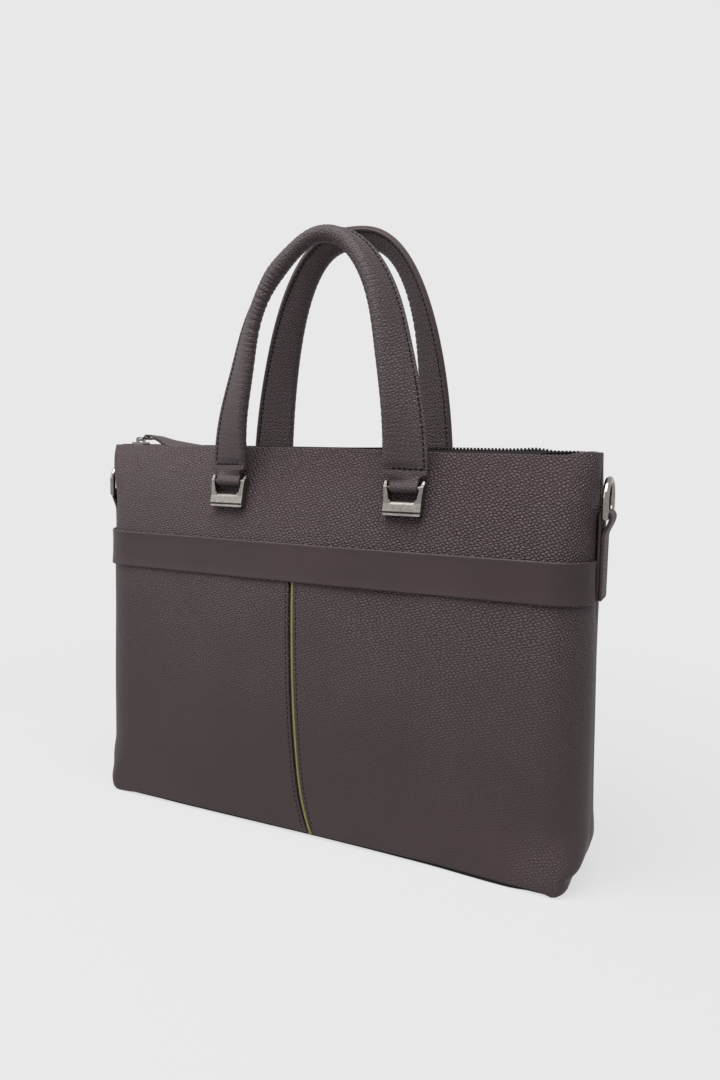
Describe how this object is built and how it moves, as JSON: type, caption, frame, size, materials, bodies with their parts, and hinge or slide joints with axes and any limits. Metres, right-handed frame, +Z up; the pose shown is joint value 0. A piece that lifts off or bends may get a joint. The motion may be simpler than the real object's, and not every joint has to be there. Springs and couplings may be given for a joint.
{
  "type": "leather briefcase",
  "caption": "Slim zip-top leather briefcase with a smooth front band, twin padded handles on metal brackets, side rings and a sliding zip.",
  "frame": {"origin": "middle of the base, on the surface that the bag stands on", "axes": "+X to the right seen from the front, +Y to the back, +Z up"},
  "size_m": [0.4096, 0.0842, 0.4557],
  "materials": {
    "leather_pebbled": "pebbled dark brown-grey leather, satin",
    "leather_smooth": "smooth dark brown-grey leather, satin",
    "contrast_leather": "smooth olive leather",
    "base_board": "pressed fibre board",
    "lining_cloth": "plain woven lining",
    "handle_filler": "cotton cord filler",
    "nickel": "brushed antique nickel",
    "zip_tape": "woven polyester tape",
    "zip_metal": "gunmetal plated brass"
  },
  "bodies": {
    "bag": {"front_upper_panel": "leather_pebbled", "front_left_panel": "leather_pebbled", "front_right_panel": "leather_pebbled", "back_panel": "leather_pebbled", "base_panel": "leather_pebbled", "ring_tab_left": "leather_pebbled", "ring_tab_right": "leather_pebbled", "zip_end_tab_left": "leather_pebbled", "zip_end_tab_right": "leather_pebbled", "front_band": "leather_smooth", "seam_inlay": "contrast_leather", "base_board": "base_board", "lining_floor": "lining_cloth", "front_lining": "lining_cloth", "back_lining": "lining_cloth", "padded_divider": "lining_cloth", "bracket_front_left": "nickel", "bracket_front_right": "nickel", "bracket_back_left": "nickel", "bracket_back_right": "nickel", "pin_front_left": "nickel", "pin_front_right": "nickel", "pin_back_left": "nickel", "pin_back_right": "nickel", "front_bracket_screws": "nickel", "back_bracket_screws": "nickel", "zip_tape_front": "zip_tape", "zip_tape_back": "zip_tape", "zip_teeth_front": "zip_metal", "zip_teeth_back": "zip_metal", "zip_end_stop": "zip_metal"},
    "front_handle": {"front_handle_wrap": "leather_pebbled", "front_handle_core": "handle_filler", "front_handle_tongue_left": "leather_pebbled", "front_handle_tongue_right": "leather_pebbled"},
    "back_handle": {"back_handle_wrap": "leather_pebbled", "back_handle_core": "handle_filler", "back_handle_tongue_left": "leather_pebbled", "back_handle_tongue_right": "leather_pebbled"},
    "left_ring": {"ring_left": "nickel"},
    "right_ring": {"ring_right": "nickel"},
    "slider": {"zip_slider": "nickel"},
    "link": {"pull_link": "nickel"},
    "pull": {"pull_tab": "leather_pebbled"}
  },
  "joints": [
    {"name": "front_handle_swing", "type": "hinge", "parent": "bag", "child": "front_handle", "pos_m": [0, -0.0286, 0.26381], "axis": [1, 0, 0], "range_deg": [-3, 118]},
    {"name": "back_handle_swing", "type": "hinge", "parent": "bag", "child": "back_handle", "pos_m": [0, 0.0286, 0.26381], "axis": [-1, 0, 0], "range_deg": [-6, 112]},
    {"name": "left_ring_swing", "type": "hinge", "parent": "bag", "child": "left_ring", "pos_m": [-0.20051, 0, 0.249], "axis": [0, -1, 0], "range_deg": [-3, 150]},
    {"name": "right_ring_swing", "type": "hinge", "parent": "bag", "child": "right_ring", "pos_m": [0.20051, 0, 0.249], "axis": [0, 1, 0], "range_deg": [-3, 150]},
    {"name": "zip_slide", "type": "slide", "parent": "bag", "child": "slider", "axis": [1, 0, 0], "range_m": [0, 0.355], "deforming": ["zip_teeth_front", "zip_teeth_back"]},
    {"name": "pull_link_flip", "type": "hinge", "parent": "slider", "child": "link", "pos_m": [-0.181, 0, 0.2937], "axis": [0, -1, 0], "range_deg": [0, 115]},
    {"name": "pull_lift", "type": "hinge", "parent": "link", "child": "pull", "pos_m": [-0.17395, 0, 0.29627], "axis": [0, -1, 0], "range_deg": [0, 60]}
  ]
}
